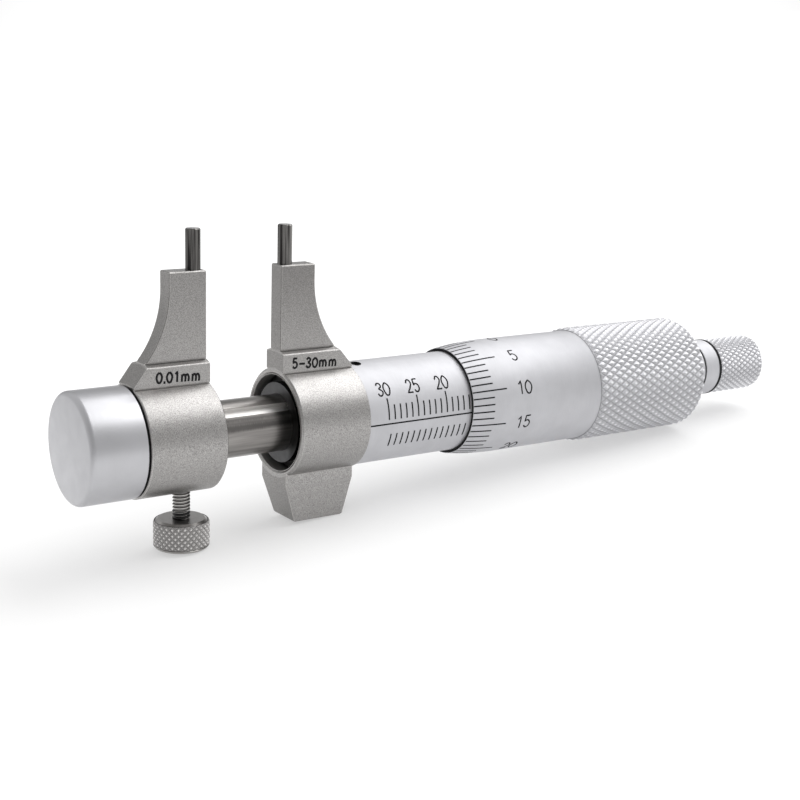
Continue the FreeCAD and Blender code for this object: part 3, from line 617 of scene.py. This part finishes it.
def makeClampScrew():
    tip, headTop, headBottom = thumbScrew["tip"], thumbScrew["headTop"], thumbScrew["headBottom"]
    radius, crest, standing = thumbScrew["radius"], thumbScrew["thread"], thumbScrew["x"]
    groove, root = radius - thumbKnurl["depth"], crest - thumbScrew["threadDepth"]
    screw = turnedShape([
        (tip, onAxis), (tip, thumbScrew["tipRadius"]), (tip + thumbScrew["tipBevel"], root), (headTop, root),
        (headTop, radius - thumbScrew["bevel"]), (headTop + thumbScrew["chamferTop"], groove),
        (headBottom - thumbScrew["land"], groove),
        (headBottom - thumbScrew["chamfer"], radius - thumbScrew["crown"]),
        (headBottom, radius - thumbScrew["chamfer"]), (headBottom, onAxis)], thumbScrew["sides"])
    screw.data.materials.append(rolledSteel)
    thread = makeThread(tip + thumbScrew["threadStart"], headTop - thumbScrew["threadEnd"])
    # The thread's roots are painted near black, as painted shade in the grooves
    thread.data.materials.append(makeKnurled("rolledThread", "#161616", "#7C7A78", "#DAD8D6", root, crest, standing))
    thread.data.materials.append(darkSteelAndShadow)
    for face in thread.data.polygons:    # the last turns before the head are painted dark, as painted shade under the head
        face.material_index = 1 if face.center.x > headTop - thumbScrew["paintedShadow"] else 0
    thumbKnurling = makeKnurled("thumbKnurling", "#3A3939", "#BAB8B7", "#F6F4F2", groove, radius, standing)
    teeth = knurledTeeth(thumbKnurl, headTop + thumbScrew["teethStart"], headBottom - thumbScrew["land"], radius,
                         thumbKnurling)
    whole = joined([screw, thread, teeth])
    whole.data.transform(Matrix.Translation((standing, 0, 0)) @ Matrix.Rotation(math.pi / 2, 4, "Y"))
    return finishPiece(whole, "knurledThumbScrew", "thumb_screw", rolledSteel, ["clamp_screw"])


makeClampScrew()
print("thumb screw made")


# End cap with its soft outer edge, and black rings set in the gaps as painted shade, so that the gaps show as dark
# lines

cap = {
    "startX": -43.76, "faceX": -36.21, "radius": 7.39, "bossRadius": 6.2, "bossInner": 5.4, "bossEnd": -33.16,
    "rimX": -37.81, "inner": 4.99, "floorX": -41.86, "round": 0.7, "roundSteps": 6,
}
gapShades = [
    # name, body, start, end, inner and outer radius
    ("capGapShade", "carriage", -36.2, -35.87, 6.3, 7.1),
    ("neckGapShade", "thimble_group", 65.36, 65.62, 3.4, 4.5),
    ("knobGapShade", "ratchet_group", 68.6, 69.09, 3.6, 4.62),
    ("thimbleGapShade", "thimble_group", 14.38, 14.75, 7.38, 7.485),
]


def makeCap():
    startX, radius = cap["startX"], cap["radius"]
    shell = turnedShape([
        (startX, onAxis), (startX, radius), (cap["faceX"], radius), (cap["faceX"], cap["bossRadius"]),
        (cap["bossEnd"], cap["bossRadius"]), (cap["bossEnd"], cap["bossInner"]), (cap["rimX"], cap["bossInner"]),
        (cap["rimX"], cap["inner"]), (cap["floorX"], cap["inner"]), (cap["floorX"], onAxis)])
    editing(shell)
    bpy.ops.mesh.select_mode(type="EDGE")
    bpy.ops.object.mode_set(mode="OBJECT")
    for edge in shell.data.edges:
        ends = [shell.data.vertices[number].co for number in edge.vertices]
        edge.select = all(abs(end.x - startX) < near and abs(math.hypot(end.y, end.z) - radius) < near
                          for end in ends)
    bpy.ops.object.mode_set(mode="EDIT")
    bpy.ops.mesh.bevel(offset=cap["round"], segments=cap["roundSteps"], affect="EDGES")
    bpy.ops.object.mode_set(mode="OBJECT")
    return finishPiece(shell, "roundedCap", "carriage", grainedChrome, ["end_cap"])


makeCap()
# Black rings in the gaps: painted shade
for name, body, startX, endX, inner, outer in gapShades:
    gapShade = turnedShape([(startX, inner), (startX, outer), (endX, outer), (endX, inner), (startX, inner)], 96)
    finishPiece(gapShade, name, body, blackPaintAndShade)


# Painted shade in the spanner hole, and painted light and shade on a sheet in the fixed jaw's mouth

hole = {
    "x": -1.6, "angle": 7.0, "floor": 5.58, "top": 7.36, "inner": 0.6, "outer": 0.665,
    "rim": 0.78, "rimThickness": 0.03, "sides": 48,
}
mouth = {"startX": -13.95, "floorX": -11.7, "radius": 6.74, "wall": 0.04, "barrel": 5.62}


def makeHoleLining():
    # The spanner hole gets a black wall and rim as painted shade, which the eye sees as one dark spot
    floor, top, inner, outer, rim = (hole[size] for size in ("floor", "top", "inner", "outer", "rim"))
    under = top - hole["rimThickness"]
    shadeLining = turnedShape([(floor, inner), (top, inner), (top, rim), (under, rim), (under, outer), (floor, outer),
                          (floor, inner)], hole["sides"])
    shadeLining.data.transform(Matrix.Rotation(math.radians(hole["angle"]), 4, "X")
                          @ Matrix.Translation((hole["x"], 0, 0)) @ Matrix.Rotation(-math.pi / 2, 4, "Y"))
    return finishPiece(shadeLining, "spannerHoleShade", "frame", blackPaintAndShade)


def makeOilyBore():
    # The mouth's turned wall: bare steel, painted light near the edge and painted darker towards the barrel's end, as
    # painted shade in the recess
    material, tree, shader = startMaterial("boreLightAndShade", "#A3A19F", 1.0, 0.5)
    place = instrumentPlace(tree)
    along = addNode(tree, "ShaderNodeSeparateXYZ", {}, {"Vector": place})
    depth = addNode(tree, "ShaderNodeMapRange", {"From Min": mouth["startX"], "From Max": mouth["floorX"]},
                    {"Value": along.outputs["X"]})
    colour = addNode(tree, "ShaderNodeValToRGB", {}, {"Fac": depth},
                     [(0.0, "#DEDCDA"), (0.7, "#C4C2C0"), (0.92, "#4A4948"), (1.0, "#242424")])
    film = addNode(tree, "ShaderNodeTexNoise", {"Scale": 1.5, "Detail": 3.0}, {"Vector": place})
    bump = addNode(tree, "ShaderNodeBump", {"Strength": 0.3, "Distance": 0.00008}, {"Height": film})
    feed(tree, shader, {"Base Color": colour, "Normal": bump})
    return material


def makeMouthLining():
    # A thin sheet on the turned wall and floor of the fixed jaw's mouth, round the barrel's end, that carries the
    # painted light and shade
    startX, floorX, outer, barrel = mouth["startX"], mouth["floorX"], mouth["radius"], mouth["barrel"]
    inner, frontX = outer - mouth["wall"], floorX - mouth["wall"]
    shadeLining = turnedShape([(startX, outer), (startX, inner), (frontX, inner), (frontX, barrel), (floorX, barrel),
                          (floorX, outer), (startX, outer)])
    return finishPiece(shadeLining, "mouthShadeSheet", "frame", makeOilyBore())


makeHoleLining()
makeMouthLining()
print("cap, washers and linings made")


# Scale marks and numbers, drawn flat and laid round the turned surfaces

# Pen strokes of the engraved characters, one unit high. A true last value makes a corner, a false one a curve.
penStrokes = {
    "0": [[(0.3, 1, 0), (0.03, 0.72, 0), (0.03, 0.28, 0), (0.3, 0, 0), (0.57, 0.28, 0), (0.57, 0.72, 0), (0.3, 1, 0)]],
    "1": [[(0.12, 0.76, 1), (0.36, 1, 1), (0.36, 0, 1)]],
    "2": [[(0.05, 0.74, 0), (0.3, 1, 0), (0.55, 0.74, 0), (0.4, 0.42, 0), (0.03, 0, 1), (0.58, 0, 1)]],
    "3": [[(0.05, 0.82, 0), (0.29, 1, 0), (0.53, 0.77, 0), (0.24, 0.54, 1)],
          [(0.24, 0.54, 1), (0.57, 0.27, 0), (0.29, 0, 0), (0.03, 0.19, 0)]],
    "4": [[(0.43, 0, 1), (0.43, 1, 1), (0.02, 0.28, 1), (0.6, 0.28, 1)]],
    "5": [[(0.54, 1, 1), (0.12, 1, 1), (0.07, 0.53, 1), (0.3, 0.63, 0), (0.57, 0.32, 0), (0.3, 0, 0), (0.03, 0.16, 0)]],
    "m": [[(0.1, 0, 1), (0.1, 0.7, 1)], [(0.1, 0.46, 1), (0.28, 0.69, 0), (0.45, 0.48, 0), (0.45, 0, 1)],
          [(0.45, 0.46, 1), (0.63, 0.69, 0), (0.8, 0.48, 0), (0.8, 0, 1)]],
    ".": [[(0.1, -0.1, 1), (0.1, 0.14, 1)]],
    "-": [[(0.02, 0.42, 1), (0.66, 0.42, 1)]],
}
penAdvance = {"m": 1.12, ".": 0.32, "-": 0.76}
pen = {"advance": 0.76, "lastGap": 0.16, "figureMiddle": 0.3, "thickness": 0.03}


def layRound(piece, angle, radiusAt):
    # Flat x stays along the spindle, flat y goes round it from the angle, and flat z is the height off the surface
    for vertex in piece.data.vertices:
        x, y, z = vertex.co
        radius = radiusAt(x)
        turn = math.radians(angle) - y / radius
        vertex.co = (x, -(radius + z) * math.sin(turn), (radius + z) * math.cos(turn))
    return piece


def flatBar(startX, endX, startY, endY, cuts):
    deselectAll()
    bpy.ops.mesh.primitive_cube_add(size=1, location=((startX + endX) / 2, (startY + endY) / 2, 0),
                                    scale=(endX - startX, endY - startY, pen["thickness"]))
    bar = bakePlace(bpy.context.object)
    editing(bar)
    bpy.ops.mesh.select_mode(type="EDGE")
    bpy.ops.object.mode_set(mode="OBJECT")
    longWay = 0 if endX - startX > endY - startY else 1
    for edge in bar.data.edges:
        first, second = (bar.data.vertices[number].co for number in edge.vertices)
        edge.select = abs(first[longWay] - second[longWay]) > 0.5    # every mark is longer and narrower than this
    bpy.ops.object.mode_set(mode="EDIT")
    bpy.ops.mesh.subdivide(number_cuts=cuts)
    bpy.ops.object.mode_set(mode="OBJECT")
    return bar


def closePoints(stroke):
    # Straight strokes get points on their way, so that they can bend round a cylinder
    filled = [stroke[0]]
    for (x, y, corner), (nextX, nextY, nextCorner) in zip(stroke, stroke[1:]):
        if corner and nextCorner:
            filled += [(x + (nextX - x) * share, y + (nextY - y) * share, 1) for share in (0.2, 0.4, 0.6, 0.8)]
        filled.append((nextX, nextY, nextCorner))
    return filled


def writtenText(text, height, width, weight, slim=1.0):
    # Height and width are those of the strokes' middles, over the whole text. Slim narrows a figure about its middle.
    advances = [penAdvance.get(letter, pen["advance"]) for letter in text]
    narrow = width / ((sum(advances) - pen["lastGap"]) * height)
    middle = pen["figureMiddle"]
    curve = bpy.data.curves.new("strokes", "CURVE")
    curve.dimensions = "3D"
    curve.resolution_u = 6
    curve.bevel_depth = weight / 2
    curve.bevel_resolution = 2
    curve.use_fill_caps = True
    left = 0.0
    for letter, advance in zip(text, advances):
        for stroke in map(closePoints, penStrokes[letter]):
            spline = curve.splines.new("BEZIER")
            spline.bezier_points.add(len(stroke) - 1)
            for point, (x, y, corner) in zip(spline.bezier_points, stroke):
                x = middle + (x - middle) * slim if letter.isdigit() else x
                point.co = ((left + x) * narrow * height, y * height, 0)
                point.handle_left_type = point.handle_right_type = "VECTOR" if corner else "AUTO"
        left += advance
    written = bpy.data.objects.new("written", curve)
    bpy.context.collection.objects.link(written)
    selectOnly(written)
    bpy.ops.object.convert(target="MESH")
    written = bpy.context.object
    written.data.transform(Matrix.Diagonal((1, 1, pen["thickness"] / (weight / 2), 1)))
    return written


sleeve = {
    "radius": 7.33, "startX": -3.08, "endX": 28.42, "indexAngle": 91.9, "line": 0.21, "low": 5, "high": 30,
    # Degrees round the spindle where the marks above and below the index line start and end
    "upperFoot": 87.4, "upperTop": 71.0, "upperFiveTop": 63.6, "lowerTop": 103.8, "lowerFoot": 119.6,
    "numberAngle": 52.6, "numberHeight": 1.97, "numberWidth": 2.1, "numberShift": -0.22, "pen": 0.24,
    # A lone figure's share of the width, and that of a number with a leading 1, which stands further along
    "oneFigure": 0.42, "leadingOne": 0.75, "leadingShift": 0.45, "cuts": 8,
}
thimbleMarks = {
    "divisions": 50, "reading": 13, "startX": 14.39, "shortX": 17.95, "longX": 20.2, "line": 0.2, "cuts": 8,
    "numberX": 23.5, "numberTurn": 0.8, "numberHeight": 1.95, "numberWidth": 2.55, "oneFigure": 0.45, "pen": 0.24,
}
labels = {
    "faceY": -2.3, "weight": 0.3, "slim": 0.88,
    "graduation": {"text": "0.01mm", "x": -32.78, "z": 7.87, "width": 6.25, "height": 1.36, "tilt": 2.5},
    "range": {"text": "5-30mm", "x": -12.75, "z": 7.92, "width": 7.09, "height": 1.32, "tilt": 2.9},
}


def sleeveRadius(x):
    return sleeve["radius"]


def makeSleeveScale():
    half = sleeve["line"] / 2

    def markUp(x, foot, top):
        length = math.radians(foot - top) * sleeve["radius"]
        return layRound(flatBar(x - half, x + half, 0, length, sleeve["cuts"]), foot, sleeveRadius)

    marks = [layRound(flatBar(sleeve["startX"], sleeve["endX"], -half, half, 1), sleeve["indexAngle"], sleeveRadius)]
    for number in range(sleeve["low"], sleeve["high"] + 1):
        x = sleeve["high"] - number
        numbered = number % 5 == 0
        marks.append(markUp(x, sleeve["upperFoot"], sleeve["upperFiveTop" if numbered else "upperTop"]))
        if number > sleeve["low"]:    # the half millimetre's mark
            marks.append(markUp(x + 0.5, sleeve["lowerFoot"], sleeve["lowerTop"]))
        if numbered:
            leading = 10 <= number < 20
            share = sleeve["oneFigure"] if number < 10 else sleeve["leadingOne"] if leading else 1
            wide = sleeve["numberWidth"] * share
            startX = x - wide / 2 + sleeve["numberShift"] + (sleeve["leadingShift"] if leading else 0)
            written = writtenText(str(number), sleeve["numberHeight"], wide, sleeve["pen"])
            written.data.transform(Matrix.Translation((startX, -sleeve["numberHeight"] / 2, 0)))
            marks.append(layRound(written, sleeve["numberAngle"], sleeveRadius))
    return finishPiece(joined(marks), "sleeveScale", "frame", blackPaintAndShade, smooth=0)


def makeThimbleScale():
    half, height = thimbleMarks["line"] / 2, thimbleMarks["numberHeight"]
    marks = []
    for number in range(thimbleMarks["divisions"]):
        numbered = number % 5 == 0
        angle = sleeve["indexAngle"] + (number - thimbleMarks["reading"]) * 360 / thimbleMarks["divisions"]
        endX = thimbleMarks["longX" if numbered else "shortX"]
        marks.append(layRound(flatBar(thimbleMarks["startX"], endX, -half, half, thimbleMarks["cuts"]), angle,
                              bevelRadius))
        if numbered:
            wide = thimbleMarks["numberWidth"] * (thimbleMarks["oneFigure"] if number < 10 else 1)
            written = writtenText(str(number), height, wide, thimbleMarks["pen"])
            written.data.transform(Matrix.Translation((thimbleMarks["numberX"] - wide / 2, -height / 2, 0)))
            marks.append(layRound(written, angle + thimbleMarks["numberTurn"], bevelRadius))
    return finishPiece(joined(marks), "thimbleScale", "thimble_group", blackPaintAndShade, smooth=0)


def makeLabel(words, name, body):
    written = writtenText(words["text"], words["height"], words["width"], labels["weight"], labels["slim"])
    askew = Matrix.Rotation(math.radians(words["tilt"]), 4, "Y")    # stamped by hand, not quite level
    written.data.transform(Matrix.Translation((words["x"], labels["faceY"], words["z"])) @ askew
                           @ Matrix.Rotation(math.pi / 2, 4, "X"))
    return finishPiece(written, name, body, blackPaintAndShade, smooth=0)


makeSleeveScale()
makeThimbleScale()
makeLabel(labels["graduation"], "graduationLabel", "carriage")
makeLabel(labels["range"], "rangeLabel", "frame")
print("scales and labels made")


# Floor, light and camera

photoView = {
    "place": (-110.17, -166.02, 48.43), "right": (0.8211, -0.5700, 0.0304), "down": (-0.1057, -0.2041, -0.9732),
    "focalPixels": 1438.3, "framePixels": 800, "sensor": 36.0,
}
studio = {
    # A glowing floor, as painted light: it glows little under the instrument, which is a painted shadow, more further
    # out, and hardly on either side of the view
    "floorSize": 6, "floorColour": "#C6C6C6", "glow": [(0.02, 0.42), (0.08, 0.55), (1.0, 0.72)], "glowReach": 0.7,
    "narrow": 0.35, "sideStart": 0.36, "sideEnd": 1.1, "sideShare": 0.27, "nearest": 0.05,
    # How bright the room is, from behind the viewer to behind the instrument, with dark cards just beside the view
    "room": [(0.0, 0.5), (0.35, 0.72), (0.72, 0.8), (0.86, 0.45), (0.945, 0.45), (0.967, 1.02), (1.0, 1.04)],
    "keyBox": {"place": (510, -40, 735), "aim": (10, 0, 0), "width": 1.05, "height": 0.7, "brightness": 2.45},
}


def makeFloor():
    # A floor that glows as painted light: white and without gloss, its glow dimmer under the instrument and to the
    # sides
    deselectAll()
    bpy.ops.mesh.primitive_plane_add(size=studio["floorSize"])
    floor = bpy.context.object
    floor.name = "floor"
    glowingFloor, tree, shader = startMaterial("paintedGlowFloor", studio["floorColour"], 0.0, 0.9)
    shader.inputs["Emission Color"].default_value = (1, 1, 1, 1)
    seen = addNode(tree, "ShaderNodeTexCoord")
    slim = addNode(tree, "ShaderNodeMapping", {"Scale": (studio["narrow"], 1, 1)}, {"Vector": seen.outputs["Object"]})
    away = addNode(tree, "ShaderNodeVectorMath", {"operation": "LENGTH"}, {"Vector": slim})
    share = addNode(tree, "ShaderNodeMath", {"operation": "DIVIDE", 1: studio["glowReach"]}, {0: away})
    glow = addNode(tree, "ShaderNodeValToRGB", {}, {"Fac": share}, studio["glow"])

    # How far off the photo's line of sight a point of the floor is, as a share of its distance along that line
    viewer, right = instrument @ Vector(photoView["place"]), leaning @ Vector(photoView["right"])
    sideways = Vector((right.x, right.y, 0)).normalized()
    ahead = Vector((-sideways.y, sideways.x, 0))
    fromViewer = addNode(tree, "ShaderNodeVectorMath", {"operation": "SUBTRACT", 1: viewer},
                         {0: seen.outputs["Object"]})
    far, aside = (addNode(tree, "ShaderNodeVectorMath", {"operation": "DOT_PRODUCT", 1: way}, {0: fromViewer})
                  for way in (ahead, sideways))
    inFront = addNode(tree, "ShaderNodeMath", {"operation": "MAXIMUM", 1: studio["nearest"]}, {0: far})
    slant = addNode(tree, "ShaderNodeMath", {"operation": "DIVIDE"}, {0: aside, 1: inFront})
    steep = addNode(tree, "ShaderNodeMath", {"operation": "ABSOLUTE"}, {0: slant})
    inView = addNode(tree, "ShaderNodeMapRange",
                     {"interpolation_type": "SMOOTHSTEP", "From Min": studio["sideStart"],
                      "From Max": studio["sideEnd"], "To Min": 1.0, "To Max": studio["sideShare"]}, {"Value": steep})
    strength = addNode(tree, "ShaderNodeMath", {"operation": "MULTIPLY"}, {0: glow, 1: inView})
    feed(tree, shader, {"Emission Strength": strength})
    floor.data.materials.append(glowingFloor)


def makeLight():
    # A pale room that is brighter where the camera looks, and one large soft box above and behind
    world = bpy.data.worlds.new("studioRoom")
    world.use_nodes = True
    tree = world.node_tree
    seen = addNode(tree, "ShaderNodeTexCoord")
    right, down = Vector(photoView["right"]), Vector(photoView["down"])
    towardsBack = leaning @ down.cross(right)
    facing = addNode(tree, "ShaderNodeVectorMath", {"operation": "DOT_PRODUCT", 1: -towardsBack.normalized()},
                     {0: seen.outputs["Generated"]})
    share = addNode(tree, "ShaderNodeMapRange", {"From Min": -1.0, "From Max": 1.0}, {"Value": facing})
    room = addNode(tree, "ShaderNodeValToRGB", {}, {"Fac": share}, studio["room"])
    feed(tree, tree.nodes["Background"], {"Color": room})
    bpy.context.scene.world = world
    key = studio["keyBox"]
    light = bpy.data.lights.new("keyBox", "AREA")
    light.shape = "RECTANGLE"
    light.size, light.size_y = key["width"], key["height"]
    light.energy = key["brightness"] * math.pi * light.size * light.size_y    # watts for that brightness
    box = bpy.data.objects.new("keyBox", light)
    bpy.context.collection.objects.link(box)
    box.location = instrument @ Vector(key["place"])
    box.rotation_euler = (instrument @ Vector(key["aim"]) - box.location).to_track_quat("-Z", "Y").to_euler()


def makeCamera():
    camera = bpy.data.cameras.new("photoCamera")
    camera.sensor_width = photoView["sensor"]
    camera.lens = photoView["focalPixels"] * photoView["sensor"] / photoView["framePixels"]
    camera.clip_start, camera.clip_end = 0.01, 10
    viewer = bpy.data.objects.new("photoCamera", camera)
    bpy.context.collection.objects.link(viewer)
    right, up = Vector(photoView["right"]).normalized(), -Vector(photoView["down"]).normalized()
    up = (up - right * up.dot(right)).normalized()
    turned = leaning @ Matrix((right, up, right.cross(up))).transposed()
    viewer.matrix_world = Matrix.Translation(instrument @ Vector(photoView["place"])) @ turned.to_4x4()
    bpy.context.scene.camera = viewer


makeFloor()
makeLight()
makeCamera()
bpy.context.scene.view_settings.view_transform = "Standard"
print("studio and camera made")
